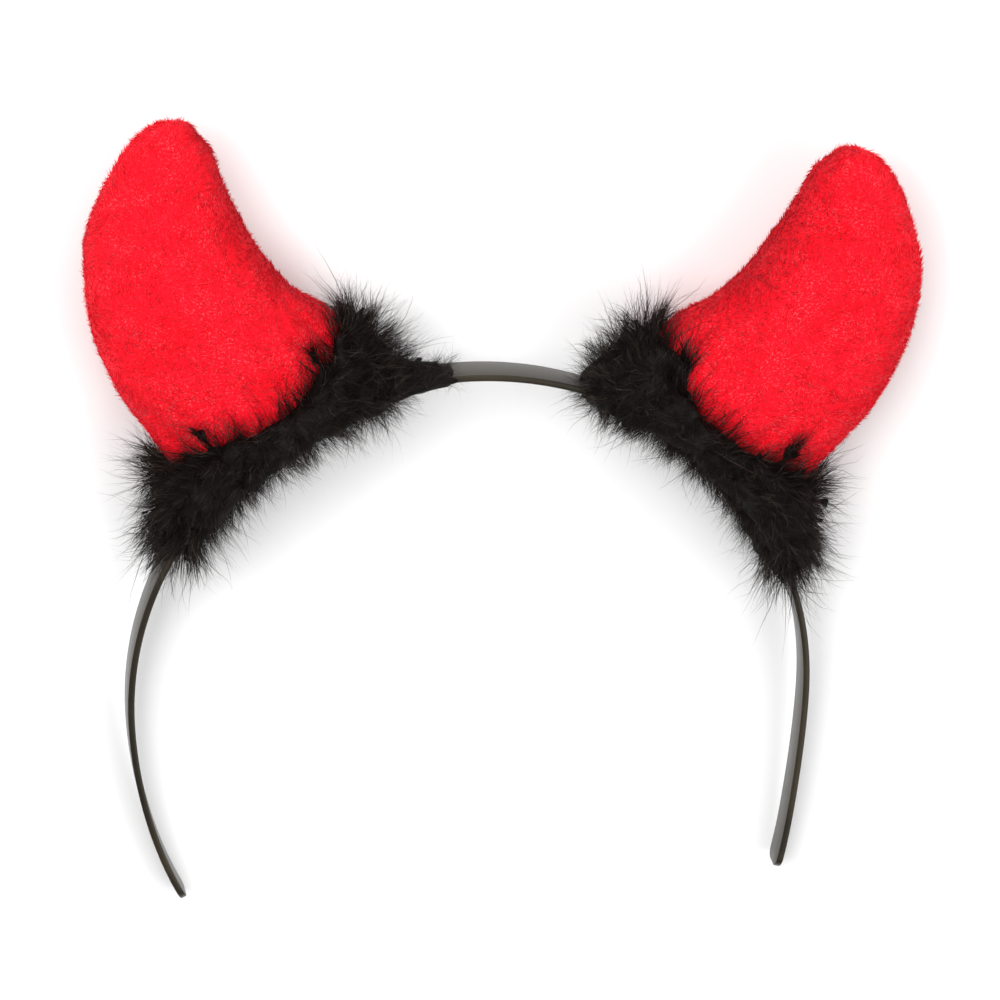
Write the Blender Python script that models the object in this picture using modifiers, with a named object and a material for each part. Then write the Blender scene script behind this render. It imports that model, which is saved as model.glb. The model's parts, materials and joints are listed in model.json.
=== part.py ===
"""Devil horns headband: two stuffed plush horns in collars of long black fur, on a plastic band.

The pieces are modelled as they face the viewer, +X to the right, +Y up through the band's crown
and +Z to the front, with the middle of the head at the origin. An empty then lays them on their
backs on the ground. Angles along the band start at its crown and grow to the right.
"""

import math
import random
from collections import namedtuple

import bmesh
import bpy
from mathutils import Matrix, Vector

# Lengths are in metres and angles in radians
CLEARANCE = 0.0003

# Band, along its centre line. The right leg has been bent open a little more than the left one.
BAND_SPAN = 0.1415
BAND_RISE = 0.0701
BAND_REACH = math.radians(128.2)
BAND_FLARE = {"left": 0.0055, "right": 0.0124}
FLARE_POWER = 2.5
BAND_WIDTH = 0.009
BAND_TIP_WIDTH = 0.0077
BAND_THICKNESS = 0.0014
BAND_EDGE_BEVEL = 0.0003
BEVEL_ANGLE = math.radians(50.0)
BAND_STEPS = 36
BAND_ANGLES = [BAND_REACH * i / BAND_STEPS for i in range(BAND_STEPS + 1)]
TIP_TURNS = [math.radians(turn) for turn in (70.0, 45.0, 20.0)]

# Horns
HORN_SPREAD = math.radians(37.3)
HORN_SHIFT = math.radians(4.5)
HORN_HEIGHT = 0.0688
HORN_WIDTH = 0.0476
HORN_DEPTH = 0.032
HORN_RINGS = 17
PANEL_STEPS = 18
CORE_SIDES = 20
PLUSH_WALL = 0.002
SEAM_SHARPNESS = 1.12
STUFFING_GAP = 0.0005
STUFFED_RINGS = HORN_RINGS - 2
THINNEST_CORE = 0.25
GATHER_COUNT = 9
GATHER_DEPTH = 0.0013
GATHER_TOP = 0.4

# Fur collars
FUR_GAP = 0.0006
FUR_BELOW = math.radians(25.0)
FUR_ABOVE = math.radians(23.0)
FUR_TAIL = {"left": math.radians(8.0), "right": math.radians(0.5)}
FUR_HEIGHT = 0.020
FUR_DEPTH = 0.017
FUR_RINGS = 22
FUR_SIDES = 16
LOCK_LENGTH = 0.0065
LOCK_SPREAD = 0.35
LOCK_LEAN = 0.55
SHORTEST_LOCK = 0.6
LONGEST_LOCK = 1.3
LOCK_SEED = 7
# Locks whose faces point back by this much or more lie pressed on the ground, and those on the
# side of the head are worn short
PRESSED_FACING = -0.4
PRESSED_LOCK = 0.25
HEAD_SIDE_LOCK = 0.5

# Rounds that the search for the three resting points takes at most
REST_ROUNDS = 8

# Heights and leans are shares of HORN_HEIGHT, a lean being toward the crown. Widths and depths are
# shares of HORN_WIDTH and HORN_DEPTH. Turn, in degrees, tips the section's outer end up. The first
# section is drawn down onto the band.
HornSection = namedtuple("HornSection", "height lean width depth turn")
HORN_SECTIONS = [
    HornSection(0.000, 0.000, 1.000, 0.66, 0.0),
    HornSection(0.210, 0.000, 0.980, 0.80, 0.0),
    HornSection(0.387, -0.029, 0.881, 0.95, 4.7),
    HornSection(0.560, -0.015, 0.798, 1.00, 10.0),
    HornSection(0.725, 0.039, 0.694, 0.90, 15.7),
    HornSection(0.835, 0.103, 0.571, 0.75, 18.5),
    HornSection(0.917, 0.172, 0.436, 0.57, 20.0),
    HornSection(0.956, 0.202, 0.318, 0.42, 23.0),
    HornSection(0.985, 0.236, 0.220, 0.27, 24.0),
    HornSection(1.000, 0.246, 0.050, 0.07, 24.0),
]

# Turn is a share of FUR_BELOW where it is positive, away from the crown, and of FUR_ABOVE where it
# is negative, and tail adds its share of the collar's FUR_TAIL. Outer and inner are shares of
# FUR_HEIGHT, front and back of FUR_DEPTH, measured from the band's centre line, and lock is a
# share of LOCK_LENGTH.
FurSection = namedtuple("FurSection", "turn tail outer inner front back lock")
FUR_SECTIONS = [
    FurSection(1.00, 0.0, 0.14, 0.12, 0.40, 0.38, 1.20),
    FurSection(0.88, 0.0, 0.30, 0.12, 0.59, 0.47, 1.20),
    FurSection(0.70, 0.0, 0.56, 0.11, 0.82, 0.59, 1.00),
    FurSection(0.45, 0.0, 0.74, 0.10, 0.94, 0.65, 0.90),
    FurSection(0.15, 0.0, 0.60, 0.09, 0.97, 0.67, 0.70),
    FurSection(-0.15, 0.0, 0.60, 0.09, 0.97, 0.67, 0.70),
    FurSection(-0.42, 0.0, 0.76, 0.09, 0.94, 0.65, 0.80),
    FurSection(-0.64, 0.0, 0.88, 0.09, 0.80, 0.59, 0.90),
    FurSection(-0.78, 0.0, 0.62, 0.09, 0.60, 0.50, 0.80),
    FurSection(-0.88, 0.0, 0.24, 0.09, 0.45, 0.40, 0.55),
    FurSection(-0.95, -0.5, 0.12, 0.09, 0.37, 0.36, 0.35),
    FurSection(-1.00, -1.0, 0.10, 0.09, 0.34, 0.34, 0.30),
]

FRONT = Vector((0.0, 0.0, 1.0))


def smooth_row(rows, share):
    """The row at a share of the way through a table, on a smooth curve through its rows."""
    last = len(rows) - 1
    place = share * last
    i = min(int(place), last - 1)
    t = place - i
    before, near, far, after = (rows[min(max(k, 0), last)] for k in (i - 1, i, i + 1, i + 2))
    return type(near)(
        *(
            b + 0.5 * t * (c - a + t * (2 * a - 5 * b + 4 * c - d + t * (3 * b - a - 3 * c + d)))
            for a, b, c, d in zip(before, near, far, after)
        )
    )


def band_outward(angle):
    """Direction out of the band's arch, square to it."""
    return Vector((math.sin(angle) * BAND_RISE, math.cos(angle) * BAND_SPAN / 2, 0.0)).normalized()


def band_point(angle):
    """Point on the band's centre line. Past its widest line each leg springs a little outward."""
    quarter = math.pi / 2
    sprung = max(0.0, abs(angle) - quarter) / (BAND_REACH - quarter)
    flare = BAND_FLARE["left" if angle < 0.0 else "right"]
    across = BAND_SPAN / 2 + flare * sprung**FLARE_POWER
    return Vector((across * math.sin(angle), BAND_RISE * math.cos(angle), 0.0))


def add_object(name, mesh, collection, pose):
    """Object of a bmesh, which it frees, in a collection and under the pose's empty."""
    data = bpy.data.meshes.new(name)
    mesh.to_mesh(data)
    mesh.free()
    obj = bpy.data.objects.new(name, data)
    collection.objects.link(obj)
    obj.parent = pose
    return obj


def loft(rings):
    """Closed bmesh through rings of equal length, with caps of strips from side to side of a ring."""
    mesh = bmesh.new()
    loops = [[mesh.verts.new(point) for point in ring] for ring in rings]
    count = len(loops[0])
    for near, far in zip(loops, loops[1:]):
        for i, corner in enumerate(near):
            j = (i + 1) % count
            mesh.faces.new((corner, near[j], far[j], far[i]))
    for end in (loops[0], loops[-1]):
        for i in range(count // 2 - 1):
            mesh.faces.new((end[i], end[i + 1], end[count - 2 - i], end[count - 1 - i]))
    bmesh.ops.recalc_face_normals(mesh, faces=mesh.faces)
    return mesh


def half_width(angle):
    """Half of the strip's width, which narrows from the crown to the tips."""
    return (BAND_WIDTH + (BAND_TIP_WIDTH - BAND_WIDTH) * (angle / BAND_REACH) ** 2) / 2


def band_strip(name, room, rounded, collection, pose):
    """The band's strip along the arch, thickened, with some room added all round it."""
    rows = [(angle, half_width(angle) + room) for angle in BAND_ANGLES]
    if rounded:
        arm = band_point(BAND_REACH).length
        half = rows[-1][1]
        rows[-1] = (BAND_REACH - half / arm, half)
        rows += [(BAND_REACH - half * (1 - math.cos(t)) / arm, half * math.sin(t)) for t in TIP_TURNS]
    rows = [(-angle, half) for angle, half in rows[:0:-1]] + rows
    mesh = bmesh.new()
    edges = [
        [mesh.verts.new(band_point(angle) + FRONT * side * half) for side in (-1, 1)]
        for angle, half in rows
    ]
    for (a, b), (d, c) in zip(edges, edges[1:]):
        mesh.faces.new((a, b, c, d))
    strip = add_object(name, mesh, collection, pose)
    solid = strip.modifiers.new("thickness", "SOLIDIFY")
    solid.thickness = BAND_THICKNESS + 2 * room
    solid.offset = 0.0
    return strip


def make_headband(collection, pose):
    band = band_strip("headband", 0.0, True, collection, pose)
    bevel = band.modifiers.new("softened edges", "BEVEL")
    bevel.width = BAND_EDGE_BEVEL
    bevel.segments = 1
    bevel.angle_limit = BEVEL_ANGLE
    return band


def rise_to_arch(point, up, lift):
    """How far a point has to go along up to lie on the band's arch, lifted from its centre line."""
    wide = (BAND_SPAN / 2 + lift) ** 2
    tall = (BAND_RISE + lift) ** 2
    a = up.x**2 / wide + up.y**2 / tall
    b = point.x * up.x / wide + point.y * up.y / tall
    c = point.x**2 / wide + point.y**2 / tall - 1.0
    return (math.sqrt(b * b - a * c) - b) / a


def horn_axes(angle, side):
    """A horn's foot on the band's centre line, the way it stands and the way away from the crown."""
    up = Vector((math.sin(angle), math.cos(angle), 0.0))
    return band_point(angle), up, side * up.cross(FRONT)


def horn_rings(angle, side, profile, lift):
    """Rings up a horn, the first one on the band. The profile gives a section's points across it."""
    foot, up, away = horn_axes(angle, side)
    rings = []
    for i in range(HORN_RINGS):
        section = smooth_row(HORN_SECTIONS, i / (HORN_RINGS - 1))
        turn = math.radians(section.turn)
        across = away * math.cos(turn) + up * math.sin(turn)
        centre = foot + (up * section.height - away * section.lean) * HORN_HEIGHT
        rings.append([centre + across * over + FRONT * out for over, out in profile(section)])
    rings[0] = [point + up * rise_to_arch(point, up, lift) for point in rings[0]]
    return rings


def gather_fade(section):
    """Share of the gathers' depth that is left at a section, all of it at the foot."""
    return max(0.0, 1.0 - section.height / GATHER_TOP)


def panel_profile(half):
    """Profile of the front panel's wall (half 1) or the back panel's (-1): out, and back inside."""

    def profile(section):
        half_across = section.width * HORN_WIDTH / 2
        half_depth = section.depth * HORN_DEPTH / 2
        outside, inside = [], []
        for k in range(PANEL_STEPS + 1):
            theta = math.pi * k / PANEL_STEPS
            bulge = abs(math.sin(theta)) ** SEAM_SHARPNESS
            tuck = GATHER_DEPTH * gather_fade(section) * (0.5 - 0.5 * math.cos(2 * GATHER_COUNT * theta))
            for points, wall in ((outside, 0.0), (inside, PLUSH_WALL)):
                over = max(half_across - tuck - wall, half_across * THINNEST_CORE)
                out = max(half_depth - tuck - wall, half_depth * THINNEST_CORE)
                seam = half * CLEARANCE / 2
                points.append((over * math.cos(theta), seam + half * out * bulge))
        return outside + inside[::-1]

    return profile


def core_profile(inset, gathered):
    """Profile of a solid whose surface lies an inset inside the horn's, and inside its gathers."""

    def profile(section):
        depth = inset + gathered * GATHER_DEPTH * gather_fade(section)
        half_across = section.width * HORN_WIDTH / 2
        half_depth = section.depth * HORN_DEPTH / 2
        over = max(half_across - depth, half_across * THINNEST_CORE / 2)
        out = max(half_depth - depth, half_depth * THINNEST_CORE / 2)
        points = []
        for k in range(CORE_SIDES):
            theta = 2 * math.pi * (k + 0.5) / CORE_SIDES
            bulge = math.copysign(abs(math.sin(theta)) ** SEAM_SHARPNESS, math.sin(theta))
            points.append((over * math.cos(theta), out * bulge))
        return points

    return profile


def make_horn(suffix, angle, side, parts, pose):
    """Front and back panel of plush, and the stuffing between them, standing on the band."""
    on_band = BAND_THICKNESS / 2 + CLEARANCE
    panels = []
    for half_name, half in (("front", 1), ("back", -1)):
        wall = horn_rings(angle, side, panel_profile(half), on_band)
        panels.append(add_object(f"horn_{half_name}_panel_{suffix}", loft(wall), parts, pose))
    core = horn_rings(angle, side, core_profile(PLUSH_WALL + STUFFING_GAP, True), on_band)
    stuffing = add_object(f"horn_stuffing_{suffix}", loft(core[:STUFFED_RINGS]), parts, pose)
    return panels, stuffing


def fur_with_locks(suffix, angle, side, chance):
    """Body of a fur collar along the band, each face of it drawn out into a pointed lock."""
    foot, up, _ = horn_axes(angle, side)
    heart = foot + up * HORN_HEIGHT * HORN_SECTIONS[1].height / 2
    rings = []
    lock_of_ring = []
    for i in range(FUR_RINGS):
        section = smooth_row(FUR_SECTIONS, i / (FUR_RINGS - 1))
        reach = FUR_BELOW if section.turn > 0 else FUR_ABOVE
        at = angle + side * (section.turn * reach + section.tail * FUR_TAIL[suffix])
        up = band_outward(at)
        centre = band_point(at)
        ring = []
        for k in range(FUR_SIDES):
            theta = 2 * math.pi * k / FUR_SIDES
            rise = section.outer if math.sin(theta) > 0 else section.inner
            depth = section.front if math.cos(theta) > 0 else section.back
            ring.append(
                centre
                + up * rise * FUR_HEIGHT * math.sin(theta)
                + FRONT * depth * FUR_DEPTH * math.cos(theta)
            )
        rings.append(ring)
        lock_of_ring.append((centre, up, section.lock))
    mesh = loft(rings)
    poked = bmesh.ops.poke(mesh, faces=mesh.faces)
    mesh.normal_update()
    for tip in poked["verts"]:
        _, up, share = min(lock_of_ring, key=lambda entry: (entry[0] - tip.co).length_squared)
        outward = tip.normal.copy()
        scatter = Vector([chance.uniform(-1.0, 1.0) for _ in range(3)]) * LOCK_SPREAD
        way = (outward + (tip.co - heart).normalized() * LOCK_LEAN + scatter).normalized()
        length = LOCK_LENGTH * share * chance.uniform(SHORTEST_LOCK, LONGEST_LOCK)
        if outward.dot(up) < 0.0:
            length *= HEAD_SIDE_LOCK
        if outward.dot(FRONT) < PRESSED_FACING:
            length *= PRESSED_LOCK
        tip.co += way * length
    return mesh


def largest_body(mesh):
    """Deletes every loose piece of a bmesh but the one with the most faces."""
    waiting = set(mesh.verts)
    bodies = []
    while waiting:
        body = set()
        edge = [waiting.pop()]
        while edge:
            vert = edge.pop()
            body.add(vert)
            for link in vert.link_edges:
                other = link.other_vert(vert)
                if other in waiting:
                    waiting.remove(other)
                    edge.append(other)
        bodies.append(body)
    bodies.sort(key=len)
    crumbs = [vert for body in bodies[:-1] for vert in body]
    bmesh.ops.delete(mesh, geom=crumbs, context="VERTS")


def make_fur(suffix, angle, side, band_room, parts, cutters, pose):
    """Fur collar, cut clear of the band that runs through it and of the horn that stands in it."""
    around = horn_rings(angle, side, core_profile(-FUR_GAP, False), 0.0)
    horn_room = add_object(f"horn_room_{suffix}", loft(around), cutters, pose)
    locks = fur_with_locks(suffix, angle, side, random.Random(LOCK_SEED))
    whole = add_object(f"fur_whole_{suffix}", locks, cutters, pose)
    for room in (band_room, horn_room):
        cut_room = whole.modifiers.new(f"{room.name} cut", "BOOLEAN")
        cut_room.operation = "DIFFERENCE"
        cut_room.solver = "EXACT"
        cut_room.use_self = True
        cut_room.object = room
    bpy.context.view_layer.update()
    evaluated = whole.evaluated_get(bpy.context.evaluated_depsgraph_get())
    cut = bmesh.new()
    cut.from_mesh(evaluated.to_mesh())
    largest_body(cut)
    return add_object(f"fur_trim_{suffix}", cut, parts, pose)


def corners(objects):
    """World corners of the finished meshes of some objects."""
    graph = bpy.context.evaluated_depsgraph_get()
    points = []
    for obj in objects:
        solid = obj.evaluated_get(graph)
        points += [solid.matrix_world @ vert.co for vert in solid.to_mesh().vertices]
    return points


def lay_on_back(pose, legs, sides):
    """Tips the pose until the lowest points of both horns and of the legs touch the ground."""
    bpy.context.view_layer.update()
    leg_points = [point for point in corners(legs) if point.y < 0.0]
    groups = [leg_points] + [corners(side) for side in sides]
    turn = Matrix.Identity(3)
    for _ in range(REST_ROUNDS):
        a, b, c = (min(points, key=lambda point: (turn @ point).z) for points in groups)
        normal = (b - a).cross(c - a)
        if normal.z < 0.0:
            normal.negate()
        turn = normal.rotation_difference(FRONT).to_matrix()
    laid = [turn @ point for points in groups + [corners(legs)] for point in points]
    low = Vector([min(point[axis] for point in laid) for axis in range(3)])
    high = Vector([max(point[axis] for point in laid) for axis in range(3)])
    shift = Vector((-(low.x + high.x) / 2, -(low.y + high.y) / 2, -low.z))
    pose.matrix_world = Matrix.Translation(shift) @ turn.to_4x4()


def give_material(objects, name, colour, roughness, sheen=0.0):
    material = bpy.data.materials.new(name)
    material.use_nodes = True
    shader = material.node_tree.nodes["Principled BSDF"]
    shader.inputs["Base Color"].default_value = (*colour, 1.0)
    shader.inputs["Roughness"].default_value = roughness
    shader.inputs["Sheen Weight"].default_value = sheen
    for obj in objects:
        obj.data.materials.append(material)
        obj.data.shade_smooth()


def main():
    for obj in list(bpy.data.objects):
        bpy.data.objects.remove(obj, do_unlink=True)
    parts = bpy.data.collections.new("devil horns headband")
    cutters = bpy.data.collections.new("cutters")
    for collection in (parts, cutters):
        bpy.context.scene.collection.children.link(collection)
    pose = bpy.data.objects.new("laid_on_back", None)
    parts.objects.link(pose)

    headband = make_headband(parts, pose)
    band_room = band_strip("band_room", CLEARANCE, False, cutters, pose)
    plush, stuffings, furs, sides = [], [], [], []
    for suffix, side in (("left", -1), ("right", 1)):
        angle = HORN_SHIFT + side * HORN_SPREAD
        panels, stuffing = make_horn(suffix, angle, side, parts, pose)
        fur = make_fur(suffix, angle, side, band_room, parts, cutters, pose)
        plush += panels
        stuffings.append(stuffing)
        furs.append(fur)
        sides.append([*panels, fur])

    for cutter in cutters.objects:
        cutter.hide_render = True
        cutter.display_type = "WIRE"
    give_material([headband], "dark grey plastic", (0.045, 0.040, 0.034), 0.35)
    give_material(plush, "red plush", (0.72, 0.005, 0.012), 0.9, sheen=0.4)
    give_material(stuffings, "white stuffing", (0.85, 0.84, 0.80), 1.0)
    give_material(furs, "black fur", (0.010, 0.008, 0.007), 0.7)
    lay_on_back(pose, [headband], sides)


if __name__ == "__main__":
    main()
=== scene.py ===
"""Devil horns headband: stuffed plush horns in collars of black fur, on a plastic band.

Every piece is shaped in the band's own upright frame, +X to the right, +Y up through the crown and
+Z to the front, with the middle of the head at the origin. The finished meshes are then laid on
their backs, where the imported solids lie. Lengths are in metres.
"""

import json
import logging
import math
from collections.abc import Iterable, Sequence
from dataclasses import asdict, dataclass, field, fields
from enum import Enum

import bmesh
import bpy
import numpy as np
from mathutils import Matrix, Vector, noise
from mathutils.bvhtree import BVHTree

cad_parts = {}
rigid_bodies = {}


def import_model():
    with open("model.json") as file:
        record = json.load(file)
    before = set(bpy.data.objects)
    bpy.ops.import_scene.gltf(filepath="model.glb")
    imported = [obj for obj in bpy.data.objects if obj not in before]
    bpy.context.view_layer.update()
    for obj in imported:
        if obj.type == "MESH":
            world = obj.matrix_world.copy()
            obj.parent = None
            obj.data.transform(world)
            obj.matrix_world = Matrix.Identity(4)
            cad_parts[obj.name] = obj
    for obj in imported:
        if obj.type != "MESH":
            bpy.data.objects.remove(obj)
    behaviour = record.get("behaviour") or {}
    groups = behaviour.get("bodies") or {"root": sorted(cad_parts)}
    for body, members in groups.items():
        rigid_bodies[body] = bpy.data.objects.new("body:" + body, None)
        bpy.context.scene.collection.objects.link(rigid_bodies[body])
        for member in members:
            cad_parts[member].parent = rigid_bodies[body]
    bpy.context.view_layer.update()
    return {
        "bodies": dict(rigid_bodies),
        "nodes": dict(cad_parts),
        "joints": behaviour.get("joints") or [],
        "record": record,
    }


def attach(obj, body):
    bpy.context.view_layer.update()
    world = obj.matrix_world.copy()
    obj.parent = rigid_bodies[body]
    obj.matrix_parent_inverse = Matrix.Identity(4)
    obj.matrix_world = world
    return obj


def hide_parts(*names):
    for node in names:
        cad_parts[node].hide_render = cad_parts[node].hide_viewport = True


LOG = logging.getLogger("devil_horns")

BODY = "root"
UP = Vector((0.0, 1.0, 0.0))
FRONT = Vector((0.0, 0.0, 1.0))
MERGE_DISTANCE = 1e-6
DRIFT_SHIFTS = (Vector((0.0, 0.0, 0.0)), Vector((31.4, 17.2, 5.9)), Vector((-11.7, 23.5, 47.1)))
Colour = tuple[float, float, float]
Ring = list[Vector]


class Side(Enum):
    """The two horns, as seen from the front. The value is the way along X that each stands off."""

    LEFT = -1
    RIGHT = 1

    @property
    def suffix(self) -> str:
        """The end of the names of this side's pieces."""
        return self.name.lower()


@dataclass(frozen=True)
class RestPose:
    """How the upright frame lies once the headband is put down on its back."""

    origin: Colour = (-0.0071741, -0.0411525, 0.0081789)
    ground_up: Colour = (0.0074541, 0.0953150, 0.9954193)

    @property
    def ground(self) -> float:
        """How high the ground is along its own up, in the upright frame."""
        return -self.origin[2]

    def matrix(self) -> Matrix:
        """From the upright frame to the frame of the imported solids."""
        turn = Vector(self.ground_up).rotation_difference(FRONT)
        return Matrix.Translation(self.origin) @ turn.to_matrix().to_4x4()

    def lay(self, piece: bpy.types.Object) -> None:
        """Moves a piece's mesh to where it lies, and leaves the object at the origin."""
        piece.data.transform(self.matrix())
        piece.data.update()


# Node trees


@dataclass
class Wire:
    """One output socket of a node tree, with the arithmetic that Math nodes do."""

    loom: "Loom"
    socket: bpy.types.NodeSocket

    def maths(self, operation: str, *values: "float | Wire") -> "Wire":
        """The Math node of an operation on these values.

        Args:
            operation: the node's operation.
            values: its inputs in order, this wire among them.

        Returns:
            The node's output.
        """
        return self.loom.node("ShaderNodeMath", {"operation": operation}, dict(enumerate(values)))

    def __add__(self, other: "float | Wire") -> "Wire":
        """This value plus another."""
        return self.maths("ADD", self, other)

    def __radd__(self, other: float) -> "Wire":
        """A number plus this value."""
        return self.maths("ADD", other, self)

    def __sub__(self, other: "float | Wire") -> "Wire":
        """This value less another."""
        return self.maths("SUBTRACT", self, other)

    def __rsub__(self, other: float) -> "Wire":
        """A number less this value."""
        return self.maths("SUBTRACT", other, self)

    def __mul__(self, other: "float | Wire") -> "Wire":
        """This value times another."""
        return self.maths("MULTIPLY", self, other)

    def __rmul__(self, other: float) -> "Wire":
        """A number times this value."""
        return self.maths("MULTIPLY", other, self)

    def __truediv__(self, other: "float | Wire") -> "Wire":
        """This value over another."""
        return self.maths("DIVIDE", self, other)

    def __rtruediv__(self, other: float) -> "Wire":
        """A number over this value."""
        return self.maths("DIVIDE", other, self)

    def __pow__(self, other: "float | Wire") -> "Wire":
        """This value to a power."""
        return self.maths("POWER", self, other)

    def at_least(self, other: "float | Wire") -> "Wire":
        """The larger of this value and another."""
        return self.maths("MAXIMUM", self, other)

    def at_most(self, other: "float | Wire") -> "Wire":
        """The smaller of this value and another."""
        return self.maths("MINIMUM", self, other)

    def eased(self, low: float, high: float) -> "Wire":
        """0 below low and 1 above high, with a smooth rise between them."""
        settings = {"interpolation_type": "SMOOTHSTEP"}
        sockets = {"Value": self, "From Min": low, "From Max": high}
        return self.loom.node("ShaderNodeMapRange", settings, sockets)


class Loom:
    """A node tree that is being built, a material's or a geometry tree."""

    def __init__(self, tree: bpy.types.NodeTree) -> None:
        """Takes the tree that the nodes go in."""
        self.tree = tree

    def node(
        self,
        kind: str,
        settings: dict[str, object] | None = None,
        sockets: dict[int | str, object] | None = None,
        output: int | str = 0,
    ) -> Wire:
        """Adds one node and sets it up.

        Args:
            kind: the node's type.
            settings: its own properties, set first. A ramp's stops are pairs of place and colour.
            sockets: a value or a wire for each input that isn't left alone.
            output: the output that is wanted.

        Returns:
            That output.
        """
        made = self.tree.nodes.new(kind)
        for name, value in (settings or {}).items():
            if name == "stops":
                self.set_stops(made.color_ramp, value)
            else:
                setattr(made, name, value)
        for key, value in (sockets or {}).items():
            if isinstance(value, Wire):
                self.tree.links.new(value.socket, made.inputs[key])
            else:
                made.inputs[key].default_value = value
        return Wire(self, made.outputs[output])

    @staticmethod
    def set_stops(ramp: bpy.types.ColorRamp, stops: Sequence[tuple[float, Colour]]) -> None:
        """Gives a ramp its places and colours."""
        while len(ramp.elements) < len(stops):
            ramp.elements.new(1.0)
        for element, (place, colour) in zip(ramp.elements, stops):
            element.position = place
            element.color = (*colour, 1.0)

    def vector(self, operation: str, *values: object, **named: object) -> Wire:
        """The Vector Math node of an operation, with its result."""
        output = "Value" if operation == "DOT_PRODUCT" else "Vector"
        sockets = {**dict(enumerate(values)), **named}
        return self.node("ShaderNodeVectorMath", {"operation": operation}, sockets, output)

    def scaled(self, vector: object, factor: object) -> Wire:
        """A vector times a value."""
        return self.vector("SCALE", vector, Scale=factor)

    def axes(self, vector: Wire) -> tuple[Wire, Wire, Wire]:
        """A vector's three numbers."""
        first = self.node("ShaderNodeSeparateXYZ", sockets={0: vector})
        split = first.socket.node
        return first, Wire(self, split.outputs[1]), Wire(self, split.outputs[2])

    def combined(self, x: object, y: object, z: object) -> Wire:
        """A vector of three values."""
        return self.node("ShaderNodeCombineXYZ", sockets={0: x, 1: y, 2: z})

    def blended(self, share: object, low: Colour | Wire, high: Colour | Wire) -> Wire:
        """A colour a share of the way from low to high."""
        ends = [end if isinstance(end, Wire) else (*end, 1.0) for end in (low, high)]
        sockets = {"Factor": share, 6: ends[0], 7: ends[1]}
        return self.node("ShaderNodeMix", {"data_type": "RGBA"}, sockets, 2)

    def clouds(
        self, place: Wire, scale: object, detail: float = 2.0, output: str = "Fac"
    ) -> Wire:
        """Noise of a scale in features per metre."""
        sockets = {"Vector": place, "Scale": scale, "Detail": detail}
        return self.node("ShaderNodeTexNoise", None, sockets, output)

    def carried(self, name: str) -> Wire:
        """A number that a material reads from its mesh."""
        return self.node("ShaderNodeAttribute", {"attribute_name": name}, output="Fac")

    def relief(self, strength: float, depth: float, height: Wire) -> Wire:
        """A bump of a depth in metres, for a shader's normal."""
        sockets = {"Strength": strength, "Distance": depth, "Height": height}
        return self.node("ShaderNodeBump", None, sockets)


# Finishes


class Finish:
    """What the finishes share: a Principled material that a finish weaves."""

    slot: str
    title: str

    def material(self) -> bpy.types.Material:
        """Makes the finish's material, the first time it is asked for.

        Returns:
            The material.
        """
        made = bpy.data.materials.get(self.title)
        if made:
            return made
        made = bpy.data.materials.new(self.title)
        made.use_nodes = True
        shader = made.node_tree.nodes["Principled BSDF"]
        loom = Loom(made.node_tree)
        place = loom.node("ShaderNodeTexCoord", output="Object")
        self.weave(loom, place, shader)
        return made

    def weave(self, loom: Loom, place: Wire, shader: bpy.types.Node) -> None:
        """Adds the finish's nodes and joins them to its shader.

        Args:
            loom: the material's tree.
            place: where on the object a point is.
            shader: the material's shader.
        """
        raise NotImplementedError

    @staticmethod
    def join(loom: Loom, shader: bpy.types.Node, **wires: Wire) -> None:
        """Links wires to a shader's inputs, whose names have _ for a blank."""
        for name, wire in wires.items():
            loom.tree.links.new(wire.socket, shader.inputs[name.replace("_", " ")])

    @staticmethod
    def set(shader: bpy.types.Node, **values: object) -> None:
        """Sets constant values on a shader's inputs, whose names have _ for a blank."""
        for name, value in values.items():
            shader.inputs[name.replace("_", " ")].default_value = value


@dataclass(frozen=True)
class BandPlastic(Finish):
    """Dark grey moulded plastic with a satin skin, faint scuffs and a trace of mould grain.

    Scales are in features per metre.
    """

    slot: str = "dark_grey_plastic"
    title: str = "dark grey band plastic"
    dark: Colour = (0.008, 0.0055, 0.003)
    light: Colour = (0.024, 0.018, 0.009)
    tint: Colour = (1.0, 0.94, 0.85)
    specular: float = 0.35
    roughness: float = 0.22
    haze_scale: float = 70.0
    haze_edges: tuple[float, float] = (0.3, 0.7)
    haze_roughness: float = 0.16
    grain_scale: float = 2600.0
    grain_relief: float = 0.6
    scuff_scales: Colour = (260.0, 260.0, 2400.0)
    scuff_edges: tuple[float, float] = (0.62, 0.75)
    scuff_roughness: float = 0.12
    scuff_paleness: float = 0.2
    scuff_relief: float = 0.5
    relief_strength: float = 0.25
    relief_depth: float = 0.00006

    def weave(self, loom: Loom, place: Wire, shader: bpy.types.Node) -> None:
        """Adds the plastic's nodes."""
        haze = loom.clouds(place, self.haze_scale, 4.0)
        grain = loom.clouds(place, self.grain_scale, 3.0)
        scuffs = loom.clouds(loom.vector("MULTIPLY", place, self.scuff_scales), 1.0, 2.0)
        marks = scuffs.eased(*self.scuff_edges)
        height = grain * self.grain_relief + marks * self.scuff_relief
        pale = haze.eased(*self.haze_edges) + marks * self.scuff_paleness
        rough = haze * self.haze_roughness + marks * self.scuff_roughness + self.roughness
        self.join(
            loom,
            shader,
            Base_Color=loom.blended(pale, self.dark, self.light),
            Roughness=rough,
            Normal=loom.relief(self.relief_strength, self.relief_depth, height),
        )
        self.set(shader, Specular_IOR_Level=self.specular, Specular_Tint=(*self.tint, 1.0))


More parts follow.
